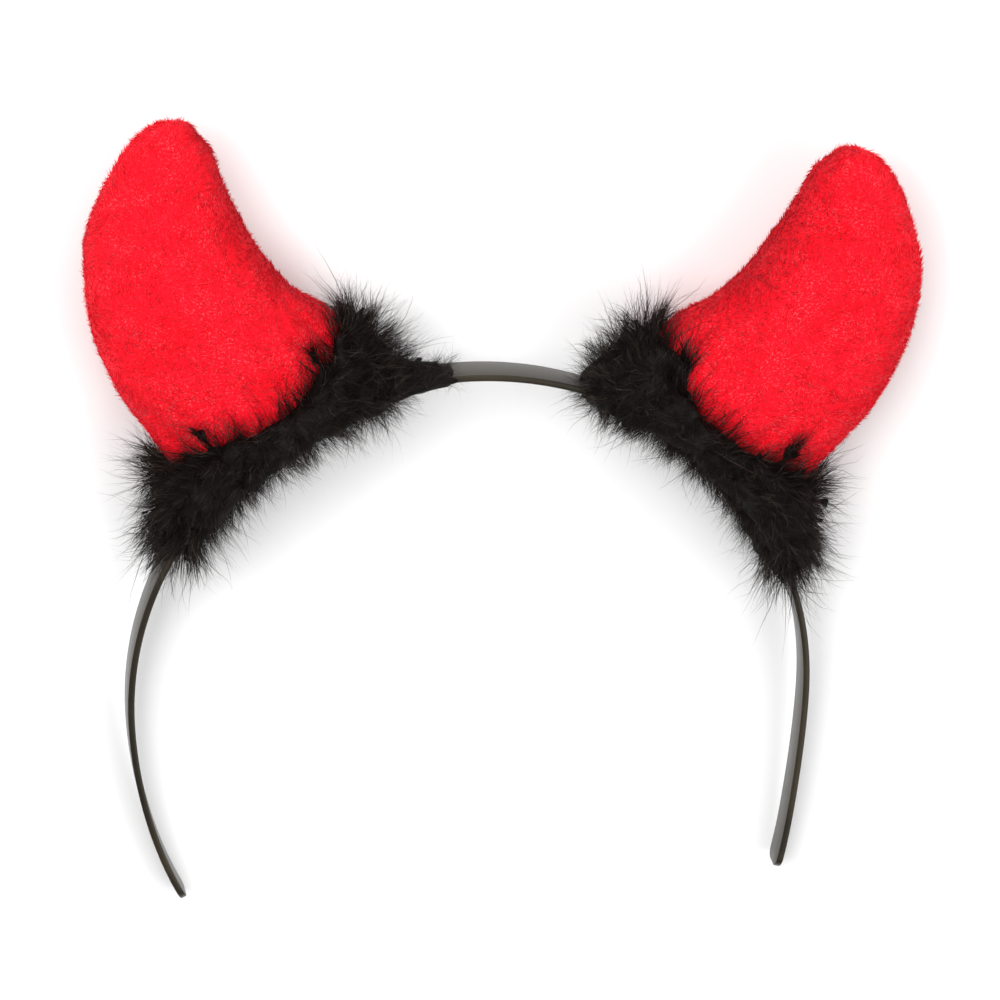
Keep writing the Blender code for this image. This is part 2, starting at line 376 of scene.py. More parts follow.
@dataclass(frozen=True)
class RedPlush(Finish):
    """Bright red short plush, brushed every way, with painted highlights: paler specks where the
    pile catches light.

    Scales are in features per metre. The mesh carries shade, different for each tuft, tip, the
    share of the way up it, and a painted shade on the side toward the crown, which darkens it.
    """

    slot: str = "red_plush"
    title: str = "bright red plush"
    deep: Colour = (0.79, 0.0012, 0.010)
    bright: Colour = (0.88, 0.0035, 0.018)
    # Painted highlight: the paler colour of the specks where the pile catches light.
    speck: Colour = (1.0, 0.150, 0.190)
    # Painted shade: the colour that the side toward the crown is darkened toward.
    shadow: Colour = (0.36, 0.0002, 0.003)
    sheen_tint: Colour = (1.0, 0.2, 0.3)
    sheen: float = 0.12
    sheen_roughness: float = 0.45
    specular: float = 0.2
    roughness: float = 0.95
    speck_roughness: float = 0.3
    brushed_scale: float = 110.0
    brushed_edges: tuple[float, float] = (0.25, 0.62)
    brushed_share: float = 0.6
    tuft_scale: float = 900.0
    tuft_edges: tuple[float, float] = (0.3, 0.7)
    tuft_relief: float = 0.7
    fibre_scale: float = 2400.0
    fibre_edges: tuple[float, float] = (0.54, 0.70)
    fibre_paleness: float = 0.5
    pale_tufts: tuple[float, float] = (0.55, 1.0)
    tuft_paleness: float = 0.9
    # How the painted highlight of the specks is stronger in some patches than others.
    worn_scale: float = 150.0
    worn_edges: tuple[float, float] = (0.35, 0.65)
    worn_least: float = 0.25
    relief_strength: float = 0.4
    relief_depth: float = 0.0003

    def weave(self, loom: Loom, place: Wire, shader: bpy.types.Node) -> None:
        """Adds the plush's nodes."""
        shade, tip, lay = (loom.carried(name) for name in ("shade", "tip", "nap"))
        brushed = loom.clouds(place, self.brushed_scale, 3.0).eased(*self.brushed_edges)
        tufts = loom.clouds(place, self.tuft_scale, 3.0)
        fibres = loom.clouds(place, self.fibre_scale, 3.0)
        depth = brushed * self.brushed_share
        depth = depth + tufts.eased(*self.tuft_edges) * (1.0 - self.brushed_share)
        ground = loom.blended(depth, self.deep, self.bright)
        # Painted shade: the side toward the crown is darkened toward the shadow colour.
        ground = loom.blended(lay, ground, self.shadow)
        # Painted highlight: paler specks of fibres and of some tufts' tips where the pile catches
        # light, stronger in patches.
        speck_patches = loom.clouds(place, self.worn_scale, 2.0).eased(*self.worn_edges)
        speck_patches = speck_patches * (1.0 - self.worn_least) + self.worn_least
        specks = fibres.eased(*self.fibre_edges) * self.fibre_paleness
        specks = specks + shade.eased(*self.pale_tufts) * tip * self.tuft_paleness
        specks = specks * speck_patches
        height = tufts * self.tuft_relief + fibres * (1.0 - self.tuft_relief)
        self.join(
            loom,
            shader,
            Base_Color=loom.blended(specks * (1.0 - lay), ground, self.speck),
            Roughness=self.roughness - specks * self.speck_roughness,
            Normal=loom.relief(self.relief_strength, self.relief_depth, height),
        )
        self.set(
            shader,
            Sheen_Weight=self.sheen,
            Sheen_Roughness=self.sheen_roughness,
            Sheen_Tint=(*self.sheen_tint, 1.0),
            Specular_IOR_Level=self.specular,
        )


@dataclass(frozen=True)
class BlackFur(Finish):
    """Black fur whose strands differ a little and darken toward the roots, with browner, greyer
    ends on some strands as a painted highlight.

    Scales are in features per metre. The mesh carries shade, different for each strand, and tip,
    the share of the way along it.
    """

    slot: str = "black_fur"
    title: str = "black fur"
    root: Colour = (0.0022, 0.0013, 0.0012)
    strand: Colour = (0.0110, 0.0072, 0.0064)
    # Painted highlight: the browner, greyer colour of some strands' ends.
    ends: Colour = (0.150, 0.118, 0.096)
    tint: Colour = (1.0, 0.86, 0.80)
    specular: float = 0.16
    roughness: float = 0.62
    pale_roughness: float = 0.2
    tip_share: float = 0.6
    lock_scale: float = 260.0
    lock_edges: tuple[float, float] = (0.3, 0.65)
    lock_relief: float = 0.6
    pale_strands: tuple[float, float] = (0.66, 1.0)
    pale_tip: float = 0.7
    thread_scales: Colour = (1500.0, 1500.0, 4000.0)
    relief_strength: float = 0.5
    relief_depth: float = 0.0004

    def weave(self, loom: Loom, place: Wire, shader: bpy.types.Node) -> None:
        """Adds the fur's nodes."""
        shade, tip = loom.carried("shade"), loom.carried("tip")
        locks = loom.clouds(place, self.lock_scale, 3.0)
        depth = tip * self.tip_share + shade * (1.0 - self.tip_share)
        body = loom.blended(depth, self.root, self.strand)
        # Painted highlight: some strands, picked by shade and by lock, grow paler toward their
        # ends.
        pale = shade.eased(*self.pale_strands) * (tip * self.pale_tip + (1.0 - self.pale_tip))
        pale = pale * locks.eased(*self.lock_edges)
        threads = loom.clouds(loom.vector("MULTIPLY", place, self.thread_scales), 1.0)
        height = locks * self.lock_relief + threads * (1.0 - self.lock_relief)
        self.join(
            loom,
            shader,
            Base_Color=loom.blended(pale, body, self.ends),
            Roughness=self.roughness - shade * self.pale_roughness,
            Normal=loom.relief(self.relief_strength, self.relief_depth, height),
        )
        self.set(shader, Specular_IOR_Level=self.specular, Specular_Tint=(*self.tint, 1.0))


@dataclass(frozen=True)
class StudioPaper(Finish):
    """The pale floor's paper."""

    title: str = "pale studio paper"
    tone: Colour = (0.86, 0.86, 0.86)
    specular: float = 0.1
    roughness: float = 0.85
    grain_scale: float = 400.0
    grain_roughness: float = 0.1

    def weave(self, loom: Loom, place: Wire, shader: bpy.types.Node) -> None:
        """Adds the paper's nodes."""
        grain = loom.clouds(place, self.grain_scale, 3.0)
        self.join(loom, shader, Roughness=grain * self.grain_roughness + self.roughness)
        self.set(shader, Base_Color=(*self.tone, 1.0), Specular_IOR_Level=self.specular)


# Meshes


def link_object(name: str, data: object) -> bpy.types.Object:
    """An object of a mesh, a lamp or a lens, in the scene."""
    made = bpy.data.objects.new(name, data)
    bpy.context.scene.collection.objects.link(made)
    return made


def add_object(name: str, mesh: bmesh.types.BMesh) -> bpy.types.Object:
    """An object of a bmesh, which it frees."""
    data = bpy.data.meshes.new(name)
    mesh.to_mesh(data)
    mesh.free()
    return link_object(name, data)


def loft(rings: Sequence[Ring]) -> bmesh.types.BMesh:
    """Skins rings of points.

    Args:
        rings: rings of equal length, in order.

    Returns:
        A closed bmesh through them, with strips from side to side as its caps.
    """
    mesh = bmesh.new()
    loops = [[mesh.verts.new(point) for point in ring] for ring in rings]
    count = len(loops[0])
    for near, far in zip(loops, loops[1:]):
        for i in range(count):
            j = (i + 1) % count
            mesh.faces.new((near[i], near[j], far[j], far[i]))
    for end in (loops[0], loops[-1]):
        for i in range(count // 2 - 1):
            mesh.faces.new((end[i], end[i + 1], end[count - 2 - i], end[count - 1 - i]))
    bmesh.ops.recalc_face_normals(mesh, faces=mesh.faces)
    return mesh


def even_grid(piece: bpy.types.Object, size: float) -> None:
    """Sets up a modifier that gives a mesh even squares of a size."""
    grid = piece.modifiers.new("even grid", "REMESH")
    grid.mode = "VOXEL"
    grid.voxel_size = size


def settled(piece: bpy.types.Object) -> bpy.types.Object:
    """Replaces a piece's mesh by what its modifiers make of it, and takes them off.

    Args:
        piece: the piece with its modifiers.

    Returns:
        The same piece, with a plain mesh.
    """
    graph = bpy.context.evaluated_depsgraph_get()
    made = bpy.data.meshes.new_from_object(piece.evaluated_get(graph), depsgraph=graph)
    old = piece.data
    piece.modifiers.clear()
    piece.data = made
    if old.users == 0:
        bpy.data.meshes.remove(old)
    made.name = piece.name
    return piece


def keep_largest_body(piece: bpy.types.Object) -> None:
    """Deletes every loose body of a mesh but the one with the most points.

    Args:
        piece: the piece whose mesh it cleans.
    """
    mesh = bmesh.new()
    mesh.from_mesh(piece.data)
    waiting = set(mesh.verts)
    bodies = []
    while waiting:
        edge = [waiting.pop()]
        body = list(edge)
        while edge:
            vert = edge.pop()
            fresh = [link.other_vert(vert) for link in vert.link_edges]
            fresh = [other for other in fresh if other in waiting]
            waiting.difference_update(fresh)
            edge += fresh
            body += fresh
        bodies.append(body)
    bodies.sort(key=len)
    crumbs = [vert for body in bodies[:-1] for vert in body]
    bmesh.ops.delete(mesh, geom=crumbs, context="VERTS")
    mesh.to_mesh(piece.data)
    mesh.free()


def point_rows(piece: bpy.types.Object, key: str) -> np.ndarray:
    """What a mesh's points hold under a key, one row each."""
    flat = np.empty(len(piece.data.vertices) * 3, np.float64)
    piece.data.vertices.foreach_get(key, flat)
    return flat.reshape(-1, 3)


def places(piece: bpy.types.Object) -> np.ndarray:
    """The places of a mesh's points, one row each."""
    return point_rows(piece, "co")


def set_places(piece: bpy.types.Object, points: np.ndarray) -> None:
    """Moves a mesh's points."""
    piece.data.vertices.foreach_set("co", points.ravel())
    piece.data.update()


def normals(piece: bpy.types.Object) -> np.ndarray:
    """The normals of a mesh's points, one row each."""
    return point_rows(piece, "normal")


def set_attribute(piece: bpy.types.Object, name: str, values: np.ndarray) -> None:
    """Stores a number or a vector for each point of a mesh.

    Args:
        piece: the piece whose mesh carries them.
        name: the attribute's name.
        values: one number or one row for each point.
    """
    many = values.ndim > 1
    kind, key = ("FLOAT_VECTOR", "vector") if many else ("FLOAT", "value")
    attribute = piece.data.attributes.new(name, kind, "POINT")
    attribute.data.foreach_set(key, values.astype(np.float32).ravel())


def drifts(spots: Iterable[Vector]) -> np.ndarray:
    """Smooth noise vectors at spots, one row each."""
    return np.array([[noise.noise(spot + shift) for shift in DRIFT_SHIFTS] for spot in spots])


def unit_rows(rows: np.ndarray) -> np.ndarray:
    """Rows of length one."""
    return rows / np.maximum(np.linalg.norm(rows, axis=1, keepdims=True), 1e-9)


def surface_of(piece: bpy.types.Object) -> BVHTree:
    """A tree of a mesh's faces, for finding the nearest point of it."""
    mesh = bmesh.new()
    mesh.from_mesh(piece.data)
    tree = BVHTree.FromBMesh(mesh)
    mesh.free()
    return tree


def nearest(tree: BVHTree, points: np.ndarray) -> tuple[np.ndarray, np.ndarray]:
    """How far points lie outside a closed surface, and its normal at the nearest place.

    Args:
        tree: the surface.
        points: one row each.

    Returns:
        The distances, negative inside, and the normals.
    """
    far = np.empty(len(points))
    facing = np.empty((len(points), 3))
    for i, point in enumerate(points):
        place, normal, _, distance = tree.find_nearest(Vector(point))
        outside = (Vector(point) - place).dot(normal) > 0.0
        far[i] = distance if outside else -distance
        facing[i] = normal
    return far, facing


def finish_piece(piece: bpy.types.Object, finish: Finish, pose: RestPose) -> None:
    """Lays a finished piece on the ground, gives it its finish and lets it ride on the body.

    Args:
        piece: the piece, still in the upright frame.
        finish: its finish.
        pose: how the headband lies.
    """
    pose.lay(piece)
    if not piece.data.materials:
        piece.data.materials.append(finish.material())
    piece.data.shade_smooth()
    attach(piece, BODY)
    triangles = sum(len(face.vertices) - 2 for face in piece.data.polygons)
    LOG.info("%s: %d triangles", piece.name, triangles)


# Geometry trees


class GrownTree:
    """A geometry tree with named inputs, which is run once on an object and then taken off."""

    title: str
    inputs: dict[str, tuple[str, ...]]

    def __init__(self) -> None:
        """Builds the tree, with its inputs by their kind of socket."""
        self.tree = bpy.data.node_groups.new(self.title, "GeometryNodeTree")
        face = self.tree.interface
        face.new_socket("Geometry", in_out="INPUT", socket_type="NodeSocketGeometry")
        face.new_socket("Geometry", in_out="OUTPUT", socket_type="NodeSocketGeometry")
        self.names: dict[str, str] = {}
        for kind, names in self.inputs.items():
            for name in names:
                made = face.new_socket(name, in_out="INPUT", socket_type=f"NodeSocket{kind}")
                self.names[name] = made.identifier
        self.loom = Loom(self.tree)
        self.entry = self.tree.nodes.new("NodeGroupInput")
        result = self.grow()
        leave = self.tree.nodes.new("NodeGroupOutput")
        self.tree.links.new(result.socket, leave.inputs[0])

    def grow(self) -> Wire:
        """Adds the tree's nodes.

        Returns:
            The geometry that they end in.
        """
        raise NotImplementedError

    def given(self, name: str) -> Wire:
        """One of the tree's inputs."""
        return Wire(self.loom, self.entry.outputs[name])

    def attribute(self, name: str, kind: str = "FLOAT") -> Wire:
        """A number or a vector that the geometry carries."""
        return self.loom.node("GeometryNodeInputNamedAttribute", {"data_type": kind}, {0: name})

    def stored(
        self, geometry: Wire, name: str, value: Wire, kind: str = "FLOAT", domain: str = "POINT"
    ) -> Wire:
        """The geometry with a value stored on its points or its instances."""
        settings = {"data_type": kind, "domain": domain}
        sockets = {"Geometry": geometry, "Name": name, "Value": value}
        return self.loom.node("GeometryNodeStoreNamedAttribute", settings, sockets)

    def moved(self, geometry: Wire, **how: Wire) -> Wire:
        """The geometry with its points at a Position, or moved by an Offset."""
        sockets = {"Geometry": geometry, **how}
        return self.loom.node("GeometryNodeSetPosition", None, sockets)

    def realized(self, geometry: Wire) -> Wire:
        """The geometry with its instances made real."""
        return self.loom.node("GeometryNodeRealizeInstances", None, {0: geometry})

    def dressed(self, geometry: Wire) -> Wire:
        """The geometry in the tree's material."""
        sockets = {"Geometry": geometry, "Material": self.given("Material")}
        return self.loom.node("GeometryNodeSetMaterial", None, sockets)

    def run(self, piece: bpy.types.Object, **values: object) -> bpy.types.Object:
        """Runs the tree on an object, whose mesh it replaces.

        Args:
            piece: the object that the tree starts from.
            values: the tree's inputs, in lower case with _ for a blank.

        Returns:
            The same object, with a plain mesh and no modifier.
        """
        modifier = piece.modifiers.new(self.title, "NODES")
        modifier.node_group = self.tree
        for name, value in values.items():
            modifier[self.names[name.replace("_", " ").title()]] = value
        piece.update_tag()
        bpy.context.view_layer.update()
        return settled(piece)


class StripTree(GrownTree):
    """The band: a rounded strip swept along its arch, with half-round tips.

    Crowding is how much closer the steps lie at the tips, and tip share the least square of the
    section's own size there.
    """

    title = "band strip"
    inputs = {
        "Float": (
            *("Span", "Rise", "Reach", "Left Flare", "Right Flare", "Flare Power"),
            *("Width", "Tip Width", "Thickness", "Edge"),
        ),
        "Int": ("Steps",),
        "Material": ("Material",),
    }
    crowding = 0.5
    tip_share = 0.004
    edge_points = 3

    def grow(self) -> Wire:
        """Sweeps the strip and narrows it at its tips."""
        loom = self.loom
        steps = self.given("Steps")
        line = loom.node("GeometryNodeMeshLine", None, {"Count": steps + 1.0})
        share = loom.node("GeometryNodeInputIndex") * 2.0 / steps - 1.0
        reach = self.given("Reach")
        angle = reach * share * (1.0 + self.crowding - self.crowding * share * share)
        turn = angle.maths("ABSOLUTE", angle)
        quarter = math.pi / 2
        sprung = ((turn - quarter) / (reach - quarter)).at_least(0.0)
        right = angle.maths("GREATER_THAN", angle, 0.0)
        flare = self.given("Left Flare") * (1.0 - right) + self.given("Right Flare") * right
        across = self.given("Span") * 0.5 + flare * sprung ** self.given("Flare Power")
        x = across * angle.maths("SINE", angle)
        y = self.given("Rise") * angle.maths("COSINE", angle)
        middle = loom.combined(x, y, 0.0)
        spread = turn / reach
        taper = 1.0 - (1.0 - self.given("Tip Width") / self.given("Width")) * spread * spread
        path = self.moved(line, Position=middle)
        path = self.stored(path, "to tip", (reach - turn) * across)
        path = self.stored(path, "taper", taper)
        path = self.stored(path, "middle", middle, "FLOAT_VECTOR")
        path = loom.node("GeometryNodeMeshToCurve", None, {0: path})
        path = loom.node("GeometryNodeSetCurveNormal", {"mode": "Z_UP"}, {0: path})
        sizes = {"Width": self.given("Thickness"), "Height": self.given("Width")}
        section = loom.node("GeometryNodeCurvePrimitiveQuadrilateral", None, sizes)
        rounding = {"Radius": self.given("Edge"), "Limit Radius": True, "Count": self.edge_points}
        rounding["Curve"] = section
        section = loom.node("GeometryNodeFilletCurve", {"mode": "POLY"}, rounding)
        strip = loom.node("GeometryNodeCurveToMesh", None, {0: path, 1: section, "Fill Caps": True})
        narrow = self.rounded(self.given("Tip Width") * 0.5) * self.attribute("taper")
        thin = self.rounded(self.given("Thickness"))
        middle = self.attribute("middle", "FLOAT_VECTOR")
        offset = loom.vector("SUBTRACT", loom.node("GeometryNodeInputPosition"), middle)
        offset = loom.vector("MULTIPLY", offset, loom.combined(thin, thin, narrow))
        strip = self.moved(strip, Position=loom.vector("ADD", middle, offset))
        return self.dressed(self.realized(strip))

    def rounded(self, radius: Wire) -> Wire:
        """Share of the strip's section that is left where its tips are rounded to a radius."""
        short = 1.0 - (self.attribute("to tip") / radius).at_most(1.0)
        return (1.0 - short * short).at_least(self.tip_share) ** 0.5


class StrandTree(GrownTree):
    """Strands or tufts that grow out of a skin along its comb attribute and lean into locks.

    The skin carries comb, the way they lie, reach, how long they are, and growth, how thick they
    stand. A strand that would go underground is pressed into a cushion over it.
    """

    title = "grown strands"
    inputs = {
        "Float": (
            *("Density", "Length", "Shortest", "Longest", "Lock Size", "Lock Pull", "Stray"),
            *("Wave", "Wave Size", "Ground"),
        ),
        "Vector": ("Up",),
        "Int": ("Seed",),
        "Collection": ("Shapes",),
        "Material": ("Material",),
    }
    cushion = 0.0012

    def random(self, low: object, high: object, step: int, kind: str = "FLOAT") -> Wire:
        """A random value for each strand, another one for each step of the seed."""
        keys = (0, 1) if kind == "FLOAT_VECTOR" else (2, 3)
        sockets = {keys[0]: low, keys[1]: high, "Seed": self.given("Seed") + float(step)}
        output = 0 if kind == "FLOAT_VECTOR" else 1
        return self.loom.node("FunctionNodeRandomValue", {"data_type": kind}, sockets, output)

    def way(self, place: Wire, length: Wire) -> Wire:
        """Which way each strand points: ahead, toward its lock's heart and astray.

        Args:
            place: where the strand grows.
            length: how long it is.

        Returns:
            The way, a vector.
        """
        loom = self.loom
        cells = {"Vector": place, "Scale": 1.0 / self.given("Lock Size")}
        heart = loom.node("ShaderNodeTexVoronoi", None, cells, "Position")
        pull = loom.scaled(loom.vector("SUBTRACT", heart, place), self.given("Lock Pull"))
        ahead = loom.scaled(self.attribute("comb", "FLOAT_VECTOR"), length)
        stray = self.random((-1.0, -1.0, -1.0), (1.0, 1.0, 1.0), 2, "FLOAT_VECTOR")
        stray = loom.scaled(stray, length * self.given("Stray"))
        return loom.vector("ADD", loom.vector("ADD", ahead, pull), stray)

    def grow(self) -> Wire:
        """Places the strands, then waves them and keeps them off the ground."""
        loom = self.loom
        amount = self.given("Density") * self.attribute("growth")
        skin = {0: self.given("Geometry"), "Density": amount, "Seed": self.given("Seed")}
        settings = {"distribute_method": "RANDOM"}
        points = loom.node("GeometryNodeDistributePointsOnFaces", settings, skin)
        place = loom.node("GeometryNodeInputPosition")
        length = self.given("Length") * self.attribute("reach")
        length = length * self.random(self.given("Shortest"), self.given("Longest"), 1)
        way = {"Vector": self.way(place, length)}
        stand = loom.node("FunctionNodeAlignRotationToVector", {"axis": "Z"}, way)
        roll = {"Axis": (0.0, 0.0, 1.0), "Angle": self.random(0.0, 2 * math.pi, 3)}
        turns = {0: stand, 1: loom.node("FunctionNodeAxisAngleToRotation", None, roll)}
        stand = loom.node("FunctionNodeRotateRotation", {"rotation_space": "LOCAL"}, turns)
        shapes = {0: self.given("Shapes"), "Separate Children": True, "Reset Children": True}
        shapes = loom.node("GeometryNodeCollectionInfo", None, shapes)
        sockets = {"Points": points, "Instance": shapes, "Pick Instance": True}
        sockets |= {"Rotation": stand, "Scale": length}
        strands = loom.node("GeometryNodeInstanceOnPoints", None, sockets)
        shade = self.random(0.0, 1.0, 4)
        strands = self.realized(self.stored(strands, "shade", shade, domain="INSTANCE"))
        tip = self.attribute("tip")
        drift = loom.clouds(place, 1.0 / self.given("Wave Size"), 1.0, "Color")
        drift = loom.vector("SUBTRACT", drift, (0.5, 0.5, 0.5))
        drift = loom.scaled(drift, tip * tip * self.given("Wave"))
        strands = self.moved(strands, Offset=drift)
        height = loom.vector("DOT_PRODUCT", place, self.given("Up")) - self.given("Ground")
        below = (height - self.cushion).at_most(0.0) / self.cushion
        pressed = below.maths("EXPONENT", below)
        lift = (pressed * self.cushion - height).at_least(0.0)
        strands = self.moved(strands, Offset=loom.scaled(self.given("Up"), lift))
        return self.dressed(strands)


@dataclass(frozen=True)
class StrandShape:
    """A closed three-sided strand of length one that tapers to a point and bends one way."""

    girth: float
    bend: float
    curl: float
    rings: int
    sides: int = 3
    taper: float = 1.5
    root: float = 0.75

    def build(self, name: str) -> bpy.types.Object:
        """Builds the strand, with its share of the way to the tip at each point.

        Args:
            name: the object's name.

        Returns:
            The strand's object.
        """
        mesh = bmesh.new()
        tip_layer = mesh.verts.layers.float.new("tip")
        loops = []
        for k in range(self.rings):
            share = k / self.rings
            radius = self.girth * (1.0 - share**self.taper) * (self.root if k == 0 else 1.0)
            middle = self.line(share)
            loop = []
            for i in range(self.sides):
                theta = 2 * math.pi * i / self.sides
                out = Vector((math.cos(theta), math.sin(theta), 0))
                vert = mesh.verts.new(middle + out * radius)
                vert[tip_layer] = share
                loop.append(vert)
            loops.append(loop)
        end = mesh.verts.new(self.line(1.0))
        end[tip_layer] = 1.0
        mesh.faces.new(loops[0][::-1])
        pairs = [(i, (i + 1) % self.sides) for i in range(self.sides)]
        for near, far in zip(loops, loops[1:]):
            for i, j in pairs:
                mesh.faces.new((near[i], near[j], far[j], far[i]))
        for i, j in pairs:
            mesh.faces.new((loops[-1][i], loops[-1][j], end))
        bmesh.ops.triangulate(mesh, faces=mesh.faces)
        bmesh.ops.recalc_face_normals(mesh, faces=mesh.faces)
        return add_object(name, mesh)

    def line(self, share: float) -> Vector:
        """The strand's middle, a share of the way along it."""
        return Vector((self.bend * share**2, self.curl * share**3, share))


class StrandBox:
    """The strand shapes of one kind, kept in a collection that only the tree reads."""

    def __init__(self, name: str, shapes: Sequence[StrandShape]) -> None:
        """Builds the shapes."""
        self.collection = bpy.data.collections.new(name)
        for number, shape in enumerate(shapes):
            strand = shape.build(f"{name}_{number}")
            bpy.context.scene.collection.objects.unlink(strand)
            self.collection.objects.link(strand)

    def empty(self) -> None:
        """Removes the shapes and their collection."""
        for strand in list(self.collection.objects):
            bpy.data.meshes.remove(strand.data)
        bpy.data.collections.remove(self.collection)


@dataclass(frozen=True)
class Coat:
    """One coat of pile or fur, with what the tree that grows it is given.

    Density is in strands per square metre. Shortest, longest and stray are shares of a length.
    """

    name: str
    density: float
    length: float
    shortest: float
    longest: float
    lock_size: float
    lock_pull: float
    stray: float
    wave: float
    wave_size: float
    seed: int

    def grow(
        self,
        skin: bpy.types.Object,
        side: Side,
        pose: RestPose,
        tree: StrandTree,
        strands: StrandBox,
        finish: Finish,
    ) -> None:
        """Grows the coat out of a skin, as a piece of its own.

        Args:
            skin: the skin, which stays as it is.
            side: the horn that it is on.
            pose: how the headband lies.
            tree: the tree that grows it.
            strands: its strands' shapes.
            finish: its finish.
        """
        coat = link_object(f"{self.name}_{side.suffix}", skin.data.copy())
        sizes = asdict(self)
        del sizes["name"]
        sizes["seed"] += side.value
        tree.run(
            coat,
            ground=pose.ground,
            up=pose.ground_up,
            shapes=strands.collection,
            material=finish.material(),
            **sizes,
        )
        finish_piece(coat, finish, pose)


PILE = Coat("plush_pile", 2.9e6, 0.00135, 0.6, 1.25, 0.0014, 0.25, 0.22, 0.0, 0.004, 20)
FUR_COATS = {
    "hair": (
        Coat("fur_undercoat", 2.6e6, 0.0066, 0.5, 1.1, 0.0040, 0.95, 0.20, 0.006, 0.0045, 40),
    ),
    "guard": (
        Coat("fur_guard_hairs", 1.1e6, 0.0086, 0.5, 1.25, 0.0045, 0.8, 0.32, 0.008, 0.007, 50),
        Coat("fur_wisps", 0.08e6, 0.0115, 0.6, 1.3, 0.0060, 0.3, 0.45, 0.009, 0.012, 60),
    ),
}
STRAND_SHAPES = {
    "tuft": (StrandShape(0.13, 0.12, 0.0, 1), StrandShape(0.10, -0.1, 0.05, 1)),
    "hair": (
        StrandShape(0.011, 0.10, 0.02, 3),
        StrandShape(0.014, 0.20, -0.05, 3),
        StrandShape(0.009, 0.32, 0.06, 3),
        StrandShape(0.012, 0.05, 0.10, 3),
    ),
    "guard": (
        StrandShape(0.0045, 0.10, 0.02, 4),
        StrandShape(0.0055, 0.25, -0.05, 4),
        StrandShape(0.0050, 0.38, 0.10, 4),
    ),
}


# The headband


@dataclass(frozen=True)
class Arch:
    """The band's centre line, part of an ellipse whose legs spring outward past its widest line.

    Angles start at the crown and grow to the right.
    """

    span: float = 0.1415
    rise: float = 0.0701
    reach: float = math.radians(128.2)
    left_flare: float = 0.0055
    right_flare: float = 0.0124
    flare_power: float = 2.5

    def point(self, angle: float) -> Vector:
        """The point at an angle."""
        quarter = math.pi / 2
        sprung = max(0.0, abs(angle) - quarter) / (self.reach - quarter)
        flare = self.left_flare if angle < 0.0 else self.right_flare
        across = self.span / 2 + flare * sprung**self.flare_power
        return Vector((across * math.sin(angle), self.rise * math.cos(angle), 0.0))

    def angles(self, points: np.ndarray) -> np.ndarray:
        """The angles along the arch of points near it."""
        return np.arctan2(points[:, 0] / (self.span / 2), points[:, 1] / self.rise)

    def lift(self, points: np.ndarray) -> np.ndarray:
        """How far points lie outside the arch, as seen from the middle of the head."""
        stretch = np.hypot(points[:, 0] / (self.span / 2), points[:, 1] / self.rise)
        return np.hypot(points[:, 0], points[:, 1]) * (1.0 - 1.0 / stretch)

    def climb(self, points: np.ndarray, up: np.ndarray, above: float) -> np.ndarray:
        """How far points have to go along up to lie on the arch, lifted from its centre line.

        Args:
            points: one row each.
            up: the way they go.
            above: how far the arch is lifted.

        Returns:
            The distances, negative where points lie above it.
        """
        wide = (self.span / 2 + above) ** 2
        tall = (self.rise + above) ** 2
        a = up[0] ** 2 / wide + up[1] ** 2 / tall
        b = points[:, 0] * up[0] / wide + points[:, 1] * up[1] / tall
        c = points[:, 0] ** 2 / wide + points[:, 1] ** 2 / tall - 1.0
        return (np.sqrt(np.maximum(b * b - a * c, 0.0)) - b) / a


@dataclass
class Headband:
    """The springy plastic strip."""

    arch: Arch
    width: float = 0.009
    tip_width: float = 0.0077
    thickness: float = 0.0014
    edge: float = 0.00034
    steps: int = 300

    def build(self, pose: RestPose) -> None:
        """Sweeps the strip and dresses it.

        Args:
            pose: how the headband lies.
        """
        finish = BandPlastic()
        strip = add_object("headband_strip", bmesh.new())
        sizes = asdict(self)
        sizes |= sizes.pop("arch")
        StripTree().run(strip, material=finish.material(), **sizes)
        mesh = bmesh.new()
        mesh.from_mesh(strip.data)
        bmesh.ops.remove_doubles(mesh, verts=mesh.verts, dist=MERGE_DISTANCE)
        bmesh.ops.recalc_face_normals(mesh, faces=mesh.faces)
        mesh.to_mesh(strip.data)
        mesh.free()
        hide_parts("headband")
        finish_piece(strip, finish, pose)


# The horns


@dataclass(frozen=True)
class HornSection:
    """One section up a horn: heights and leans, toward the crown, are shares of its height.

    Widths and depths are shares of its own. Turn, in degrees, tips the section's outer end up.
    """

    height: float
    lean: float
    width: float
    depth: float
    turn: float


HORN_SECTIONS = (
    HornSection(0.000, 0.000, 1.000, 0.66, 0.0),
    HornSection(0.210, 0.000, 0.980, 0.80, 0.0),
    HornSection(0.387, -0.029, 0.881, 0.95, 4.7),
    HornSection(0.560, -0.015, 0.798, 1.00, 10.0),
    HornSection(0.725, 0.039, 0.694, 0.90, 15.7),
    HornSection(0.835, 0.103, 0.571, 0.75, 18.5),
    HornSection(0.917, 0.172, 0.436, 0.57, 20.0),
    HornSection(0.956, 0.202, 0.318, 0.42, 23.0),
    HornSection(0.985, 0.236, 0.220, 0.27, 24.0),
    HornSection(1.000, 0.246, 0.050, 0.07, 24.0),
)


def smooth_section(sections: Sequence[HornSection], share: float) -> HornSection:
    """Finds a section between the rows of a table, on a smooth curve through them.

    Args:
        sections: the table.
        share: the share of the way through it.

    Returns:
        The section there.
    """
    last = len(sections) - 1
    at = share * last
    i = min(int(at), last - 1)
    t = at - i
    near = [sections[min(max(k, 0), last)] for k in (i - 1, i, i + 1, i + 2)]
    values = []
    for key in fields(HornSection):
        a, b, c, d = (getattr(row, key.name) for row in near)
        bow = c - a + t * (2 * a - 5 * b + 4 * c - d + t * (3 * b - a - 3 * c + d))
        values.append(b + 0.5 * t * bow)
    return HornSection(*values)


